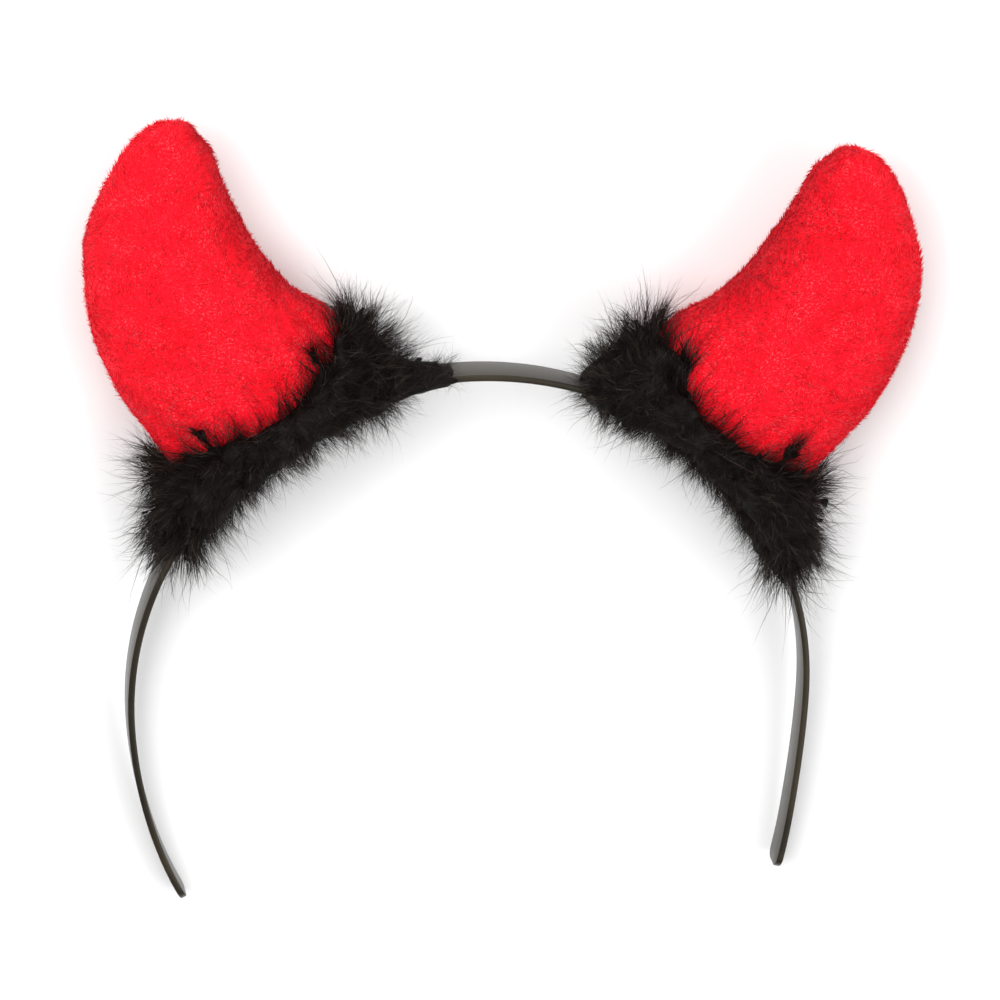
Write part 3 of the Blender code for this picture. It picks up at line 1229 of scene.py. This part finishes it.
@dataclass
class PlushHorn:
    """One stuffed horn of two plush panels, sewn along its outline."""

    side: Side
    arch: Arch
    height: float = 0.0688
    width: float = 0.0476
    depth: float = 0.032
    spread: float = math.radians(37.3)
    shift: float = math.radians(4.5)
    seam_sharpness: float = 1.12
    above_band: float = 0.00105
    thinnest: float = 0.0004
    slack: float = 0.0007
    cover_rings: tuple[int, int] = (44, 64)
    form_rings: tuple[int, int] = (90, 120)
    cloth_grid: float = 0.0023
    cloth_quality: int = 5
    cloth_mass: float = 0.15
    cloth_frames: int = 20
    pressure: float = 12.0
    farthest_swell: float = 0.0014
    settling: float = 0.7
    seam_depth: float = 0.0006
    seam_reach: float = 0.0009
    gather_count: int = 9
    gather_depth: float = 0.0013
    gather_top: float = 0.40
    gather_sharpness: float = 1.5
    lump_depth: float = 0.0004
    lump_scale: float = 90.0
    crease_scale: float = 420.0
    crease_share: float = 0.35
    fill: float = 0.85
    nap_scale: float = 130.0
    nap_climb: float = 0.35
    nap_tousle: float = 1.3
    nap_stand: float = 0.42
    nap_lay: float = 0.9
    # Painted shade on the side toward the crown: how dark it is, where it begins and how sharply it
    # grows.
    nap_shade: float = 0.7
    nap_edge: float = 0.35
    nap_sharpness: float = 1.5
    bare_foot: float = 0.02
    bare_fade: float = 0.05
    skin: bpy.types.Object | None = field(default=None, init=False)

    @property
    def angle(self) -> float:
        """Where the horn stands along the band."""
        return self.shift + self.side.value * self.spread

    @property
    def foot(self) -> Vector:
        """The middle of the horn's foot, on the band's centre line."""
        return self.arch.point(self.angle)

    @property
    def up(self) -> Vector:
        """The way the horn stands."""
        return Vector((math.sin(self.angle), math.cos(self.angle), 0.0))

    @property
    def away(self) -> Vector:
        """The way along the band that leads away from the crown."""
        return self.side.value * self.up.cross(FRONT)

    def rings(self, count: int, sides: int, inset: float) -> list[Ring]:
        """Rings up the horn, the first on the band.

        Args:
            count: how many rings.
            sides: how many points each has.
            inset: how far the rings lie inside the horn's own surface.

        Returns:
            The rings' points.
        """
        rings = []
        for i in range(count):
            section = smooth_section(HORN_SECTIONS, i / (count - 1))
            turn = math.radians(section.turn)
            across = self.away * math.cos(turn) + self.up * math.sin(turn)
            lifted = min(section.height * self.height, self.height - inset)
            centre = self.foot + self.up * lifted - self.away * section.lean * self.height
            over = max(section.width * self.width / 2 - inset, self.thinnest)
            out = max(section.depth * self.depth / 2 - inset, self.thinnest)
            ring = []
            for k in range(sides):
                theta = 2 * math.pi * (k + 0.5) / sides
                bulge = math.copysign(abs(math.sin(theta)) ** self.seam_sharpness, math.sin(theta))
                ring.append(centre + across * over * math.cos(theta) + FRONT * out * bulge)
            rings.append(ring)
        low = np.array([list(point) for point in rings[0]])
        climbs = self.arch.climb(low, np.array(self.up), self.above_band)
        rings[0] = [point + self.up * climb for point, climb in zip(rings[0], climbs)]
        return rings

    def cut_and_sewn(self) -> bpy.types.Object:
        """The slack cover, remeshed to an even grid for the cloth."""
        rings = self.rings(*self.cover_rings, self.slack)
        cover = add_object(f"horn_{self.side.suffix}", loft(rings))
        even_grid(cover, self.cloth_grid)
        return settled(cover)

    def stuff(self, cover: bpy.types.Object) -> None:
        """Swells the cover with the pressure of its stuffing, by a cloth simulation.

        Args:
            cover: the slack cover, whose foot is held on the band.
        """
        before = places(cover)
        foot_line = self.arch.climb(before, np.array(self.up), self.above_band)
        foot = [int(i) for i in np.nonzero(foot_line > -self.cloth_grid)[0]]
        held = cover.vertex_groups.new(name="held on the band")
        held.add(foot, 1.0, "REPLACE")
        cloth = cover.modifiers.new("stuffing", "CLOTH")
        cloth.settings.quality = self.cloth_quality
        cloth.settings.mass = self.cloth_mass
        cloth.settings.use_pressure = True
        cloth.settings.uniform_pressure_force = self.pressure
        cloth.settings.effector_weights.gravity = 0.0
        cloth.settings.vertex_group_mass = held.name
        scene = bpy.context.scene
        for frame in range(1, self.cloth_frames + 1):
            scene.frame_set(frame)
        graph = bpy.context.evaluated_depsgraph_get()
        swollen = np.empty(before.size)
        cover.evaluated_get(graph).data.vertices.foreach_get("co", swollen)
        move = swollen.reshape(-1, 3) - before
        far = np.linalg.norm(move, axis=1, keepdims=True)
        LOG.info("%s swells by up to %.2f mm", cover.name, far.max() * 1000)
        move *= np.minimum(1.0, self.farthest_swell / np.maximum(far, 1e-9))
        cover.modifiers.remove(cloth)
        cover.vertex_groups.clear()
        scene.frame_set(1)
        set_places(cover, before + move)

    def shape(self, cover: bpy.types.Object) -> None:
        """Smooths the cover and works the seam, the gathers and soft lumps into it.

        Args:
            cover: the swollen cover, which settles most of the way back to the horn's own surface.
        """
        rounding = cover.modifiers.new("rounding", "SUBSURF")
        rounding.levels = rounding.render_levels = 2
        settled(cover)
        form = add_object("horn_form", loft(self.rings(*self.form_rings, 0.0)))
        far, facing = nearest(surface_of(form), places(cover))
        bpy.data.meshes.remove(form.data)
        points = places(cover) - self.settling * far[:, None] * facing
        set_places(cover, points)
        outward = normals(cover)
        up, away = np.array(self.up), np.array(self.away)
        local = points - np.array(self.foot)
        rise = local @ up / self.height
        sewn = np.exp(-((points[:, 2] / self.seam_reach) ** 2))
        sides = 1.0 - np.abs(outward[:, 2])
        dent = self.seam_depth * sewn * sides
        theta = np.arctan2(points[:, 2] / self.depth, local @ away / self.width)
        fade = np.clip(1.0 - rise / self.gather_top, 0.0, 1.0)
        tuck = 0.5 - 0.5 * np.cos(2 * self.gather_count * theta)
        dent += self.gather_depth * fade * tuck**self.gather_sharpness
        lumps = np.array([noise.noise(Vector(point) * self.lump_scale) for point in points])
        creases = np.array([noise.noise(Vector(point) * self.crease_scale) for point in points])
        dent -= self.lump_depth * (lumps + self.crease_share * creases)
        points = points - dent[:, None] * outward
        climb = self.arch.climb(points, up, self.above_band)
        points += np.maximum(climb, 0.0)[:, None] * up
        set_places(cover, points)

    def nap(self, cover: bpy.types.Object) -> None:
        """Gives the skin the way its pile lies: out, up the horn, and brushed here and there.

        It also stores where the plush gets painted shade, on the side toward the crown.

        Args:
            cover: the finished cover.
        """
        points = places(cover)
        outward = normals(cover)
        up, away = np.array(self.up), np.array(self.away)
        brushed = drifts(Vector(point) * self.nap_scale for point in points)
        flow = up * self.nap_climb + brushed * self.nap_tousle
        flow -= (flow * outward).sum(axis=1)[:, None] * outward
        lie = unit_rows(outward * self.nap_stand + unit_rows(flow) * self.nap_lay)
        rise = (points - np.array(self.foot)) @ up / self.height
        # Painted shade: strongest where the skin faces the crown.
        crown_side_shade = np.clip((-(outward @ away) - self.nap_edge) / (1.0 - self.nap_edge), 0.0, 1.0)
        set_attribute(cover, "comb", lie)
        set_attribute(cover, "reach", np.ones(len(points)))
        set_attribute(cover, "growth", np.clip((rise - self.bare_foot) / self.bare_fade, 0.0, 1.0))
        set_attribute(cover, "nap", self.nap_shade * crown_side_shade**self.nap_sharpness)

    def build(self, pose: RestPose, tree: StrandTree, tufts: StrandBox, fine: bool) -> None:
        """Makes the stuffed horn and its pile.

        Args:
            pose: how the headband lies.
            tree: the tree that grows the pile.
            tufts: the pile's shapes.
            fine: whether the cloth simulation runs.
        """
        horn = self.cut_and_sewn()
        if fine:
            self.stuff(horn)
        self.shape(horn)
        self.skin = horn
        self.nap(horn)
        PILE.grow(horn, self.side, pose, tree, tufts, RedPlush())
        suffix = self.side.suffix
        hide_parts(f"horn_front_panel_{suffix}", f"horn_back_panel_{suffix}")
        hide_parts(f"horn_stuffing_{suffix}")

    def close(self, pose: RestPose) -> None:
        """Dresses the horn's skin, once the fur has been fitted round it.

        Args:
            pose: how the headband lies.
        """
        for name in ("comb", "reach", "growth"):
            self.skin.data.attributes.remove(self.skin.data.attributes[name])
        finish_piece(self.skin, RedPlush(), pose)


# The fur


@dataclass(frozen=True)
class FurLength:
    """How long the fur is at a place along the collar, as a share of a coat's length.

    The place is 0 at the horn, 1 at the collar's end on the leg and -1 at its end on the crown.
    """

    place: float
    length: float


FUR_LENGTHS = (
    FurLength(-1.35, 0.40),
    FurLength(-1.05, 0.60),
    FurLength(-0.90, 0.90),
    FurLength(-0.70, 1.00),
    FurLength(-0.30, 0.90),
    FurLength(0.30, 0.90),
    FurLength(0.70, 0.90),
    FurLength(1.00, 1.60),
)


@dataclass
class FurCollar:
    """The collar of black fur round a horn's foot and the band.

    Its fur stands out of the skin, away from the collar's heart, and droops, most on the leg.
    Near the horn it climbs up the plush. Trims are the shares of its length that it loses at the
    back, on the head's side, in front and on the outer side of its lower end.
    """

    horn: PlushHorn
    below: float = math.radians(25.0)
    above: float = math.radians(23.0)
    grid: float = 0.0011
    rounding: int = 16
    softness: float = 0.5
    heart_height: float = 0.0075
    low_start: float = 0.3
    stand: float = 0.55
    lean: float = 0.45
    droop: float = 0.32
    high_droop: float = 0.4
    low_droop: float = 1.6
    tousle: float = 1.0
    tousle_size: float = 0.0050
    horn_reach: float = 0.006
    climb: float = 1.6
    clear: float = 0.05
    back_trim: float = 0.45
    back_edge: float = 0.35
    back_fade: float = 0.4
    head_trim: float = 0.2
    head_edge: float = 0.15
    front_trim: float = 0.20
    front_edge: float = 0.4
    outer_trim: float = 0.5
    border_gain: float = 0.5
    low_gain: float = 1.5
    bare_border: float = 0.0005
    band_reach: float = 0.002
    band_half_width: float = 0.0056
    sink: float = 0.0009
    sink_fade: float = 0.002
    lump: float = 0.0016

    def skin(self, node: bpy.types.Object, pose: RestPose) -> bpy.types.Object:
        """Makes the backing under the fur.

        Args:
            node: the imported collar.
            pose: how the headband lies.

        Returns:
            The collar in the upright frame, with its locks worn down to soft lumps.
        """
        mesh = bmesh.new()
        mesh.from_mesh(node.data)
        bmesh.ops.remove_doubles(mesh, verts=mesh.verts, dist=MERGE_DISTANCE)
        mesh.transform(pose.matrix().inverted())
        skin = add_object(f"fur_skin_{self.horn.side.suffix}", mesh)
        even_grid(skin, self.grid)
        soft = skin.modifiers.new("soft lumps", "SMOOTH")
        soft.factor = self.softness
        soft.iterations = self.rounding
        keep_largest_body(settled(skin))
        return skin

    def lie(
        self,
        points: np.ndarray,
        outward: np.ndarray,
        facing: np.ndarray,
        near: np.ndarray,
        low: np.ndarray,
    ) -> np.ndarray:
        """Finds the way the fur lies.

        Args:
            points: the skin's points, one row each.
            outward: its normals.
            facing: the horn's normals nearest to them.
            near: how near they are to the horn, from 0 to 1.
            low: how far down the leg they are, from 0 to 1.

        Returns:
            One row of length one for each point.
        """
        heart = np.array(self.horn.foot + self.horn.up * self.heart_height)
        away = unit_rows(points - heart)
        sag = self.high_droop + self.low_droop * low[:, None]
        tousled = drifts(Vector(point) / self.tousle_size for point in points)
        way = outward * self.stand + away * self.lean - np.array(UP) * self.droop * sag
        way += near[:, None] * np.array(self.horn.up) * self.climb + tousled * self.tousle
        into = np.minimum((way * facing).sum(axis=1) - self.clear, 0.0)[:, None]
        return unit_rows(way - into * near[:, None] * facing)

    def trimmed(self, outward: np.ndarray, proud: np.ndarray, low: np.ndarray) -> np.ndarray:
        """Finds what the collar's trims leave of the fur's length.

        Args:
            outward: the skin's normals, one row each.
            proud: how far they face away from the head, from -1 to 1.
            low: how far down the leg each point is, from 0 to 1.

        Returns:
            A share for each point.
        """
        back = np.clip((-outward[:, 2] - self.back_edge) / self.back_fade, 0.0, 1.0)
        head = np.sqrt(np.clip(self.head_edge - proud, 0.0, 1.0))
        shown = 1.0 - self.front_edge
        front = np.clip(outward[:, 2] - self.front_edge, 0.0, shown) / shown
        outer = np.clip(proud, 0.0, 1.0) * low
        left = (1.0 - self.back_trim * back) * (1.0 - self.head_trim * head)
        return left * (1.0 - self.front_trim * front) * (1.0 - self.outer_trim * outer)

    def comb(self, skin: bpy.types.Object) -> None:
        """Gives the skin the way its fur lies, how long it is and where none grows.

        The skin then sinks a little, so that the fur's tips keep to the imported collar's own form.

        Args:
            skin: the collar's backing.
        """
        arch = self.horn.arch
        points = places(skin)
        outward = normals(skin)
        far, facing = nearest(surface_of(self.horn.skin), points)
        near = np.clip(1.0 - far / self.horn_reach, 0.0, 1.0)
        turn = (arch.angles(points) - self.horn.angle) * self.horn.side.value
        share = np.where(turn > 0, turn / self.below, turn / self.above)
        low = np.clip(share - self.low_start, 0.0, 1.0)
        radial = unit_rows(points * np.array((1.0, 1.0, 0.0)))
        proud = (outward * radial).sum(axis=1)
        table = [(row.place, row.length) for row in FUR_LENGTHS]
        reach = np.interp(share, *zip(*table)) * self.trimmed(outward, proud, low)
        gain = self.border_gain * near * (1.0 + self.low_gain * low)
        lifted = arch.lift(points)
        in_band = (np.abs(lifted) < self.band_reach) & (np.abs(points[:, 2]) < self.band_half_width)
        on_band = in_band & (proud * lifted + outward[:, 2] * points[:, 2] < 0.0)
        growth = np.clip((far - self.bare_border) / self.bare_border, 0.0, 1.0) * ~on_band
        set_attribute(skin, "comb", self.lie(points, outward, facing, near, low))
        set_attribute(skin, "reach", reach * (1.0 + gain))
        set_attribute(skin, "growth", growth)
        lumps = [noise.noise(Vector(point) / self.tousle_size) for point in points]
        sunk = self.sink - self.lump * np.array(lumps)
        sunk *= np.clip(far / self.sink_fade, 0.0, 1.0) * ~on_band
        set_places(skin, points - sunk[:, None] * outward)

    def build(
        self, node: bpy.types.Object, pose: RestPose, tree: StrandTree, boxes: dict[str, StrandBox]
    ) -> None:
        """Makes the collar's backing and grows its coats.

        Args:
            node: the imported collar.
            pose: how the headband lies.
            tree: the tree that grows the coats.
            boxes: the strands' shapes by their name.
        """
        finish = BlackFur()
        skin = self.skin(node, pose)
        self.comb(skin)
        for shape, coats in FUR_COATS.items():
            for coat in coats:
                coat.grow(skin, self.horn.side, pose, tree, boxes[shape], finish)
        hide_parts(node.name)
        finish_piece(skin, finish, pose)


# The studio


@dataclass(frozen=True)
class SoftLight:
    """A square soft light that faces the headband."""

    name: str
    place: Colour
    size: float
    power: float

    def hang(self) -> None:
        """Hangs the light."""
        lamp = bpy.data.lights.new(self.name, "AREA")
        lamp.shape = "SQUARE"
        lamp.size = self.size
        lamp.energy = self.power
        light = link_object(self.name, lamp)
        light.location = self.place
        light.rotation_euler = Vector(self.place).to_track_quat("Z", "Y").to_euler()


@dataclass(frozen=True)
class Studio:
    """The pale floor, the soft lights and the camera at the photograph's angle.

    Middle is where the middle of the head stands in the picture, in pixels from its upper left
    corner, and pixel the size of one there.
    """

    distance: float = 1.4
    pixel: float = 0.0002082
    elevation: float = math.radians(20.61)
    yaw: float = math.radians(-8.12)
    roll: float = math.radians(-0.26)
    middle: tuple[float, float] = (468.6, 689.0)
    picture: float = 1000.0
    sensor: float = 36.0
    clip_end: float = 10.0
    floor_side: float = 6.0
    sky_strength: float = 0.45
    lights: tuple[SoftLight, ...] = (
        SoftLight("key_light", (-0.55, 0.35, 1.10), 0.9, 13.0),
        SoftLight("fill_light", (0.65, -0.25, 1.0), 0.9, 6.0),
        SoftLight("top_light", (0.0, 0.9, 0.8), 0.7, 5.0),
    )

    def build(self, pose: RestPose) -> None:
        """Sets up the floor, the lights, the sky and the camera.

        Args:
            pose: how the headband lies.
        """
        self.lay_floor()
        for light in self.lights:
            light.hang()
        sky = bpy.data.worlds.new("studio sky")
        sky.use_nodes = True
        background = sky.node_tree.nodes["Background"]
        background.inputs["Color"].default_value = (1.0, 1.0, 1.0, 1.0)
        background.inputs["Strength"].default_value = self.sky_strength
        bpy.context.scene.world = sky
        bpy.context.scene.view_settings.view_transform = "Standard"
        self.place_camera(pose)

    def lay_floor(self) -> None:
        """Lays the paper that the headband rests on."""
        mesh = bmesh.new()
        bmesh.ops.create_grid(mesh, x_segments=1, y_segments=1, size=self.floor_side / 2)
        floor = add_object("studio_floor", mesh)
        floor.data.materials.append(StudioPaper().material())

    def place_camera(self, pose: RestPose) -> None:
        """Puts the camera where the photograph was taken from, as seen from the headband.

        Args:
            pose: how the headband lies.
        """
        level_out = math.cos(self.elevation)
        back = Vector((math.sin(self.yaw) * level_out, 0.0, math.cos(self.yaw) * level_out))
        back.y = math.sin(self.elevation)
        level = UP.cross(back).normalized()
        upright = back.cross(level)
        right = level * math.cos(self.roll) - upright * math.sin(self.roll)
        up = level * math.sin(self.roll) + upright * math.cos(self.roll)
        across, down = (value - self.picture / 2 for value in self.middle)
        place = back * self.distance - right * across * self.pixel + up * down * self.pixel
        lens = bpy.data.cameras.new("camera")
        lens.sensor_width = self.sensor
        lens.lens = self.sensor * self.distance / self.pixel / self.picture
        lens.clip_end = self.clip_end
        camera = link_object("camera", lens)
        stand = Matrix((right, up, back)).transposed().to_4x4()
        camera.matrix_world = pose.matrix() @ Matrix.Translation(place) @ stand
        bpy.context.scene.camera = camera


def main() -> None:
    """Builds the headband, its horns and their fur, and the studio round them."""
    logging.basicConfig(level=logging.INFO, format="%(message)s")
    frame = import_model()
    pose = RestPose()
    arch = Arch()
    Studio().build(pose)
    Headband(arch).build(pose)
    tree = StrandTree()
    strands = {name: StrandBox(name, shapes) for name, shapes in STRAND_SHAPES.items()}
    for side in Side:
        horn = PlushHorn(side, arch)
        horn.build(pose, tree, strands["tuft"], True)
        node = frame["nodes"][f"fur_trim_{side.suffix}"]
        FurCollar(horn).build(node, pose, tree, strands)
        horn.close(pose)
    for box in strands.values():
        box.empty()


if __name__ == "__main__":
    main()
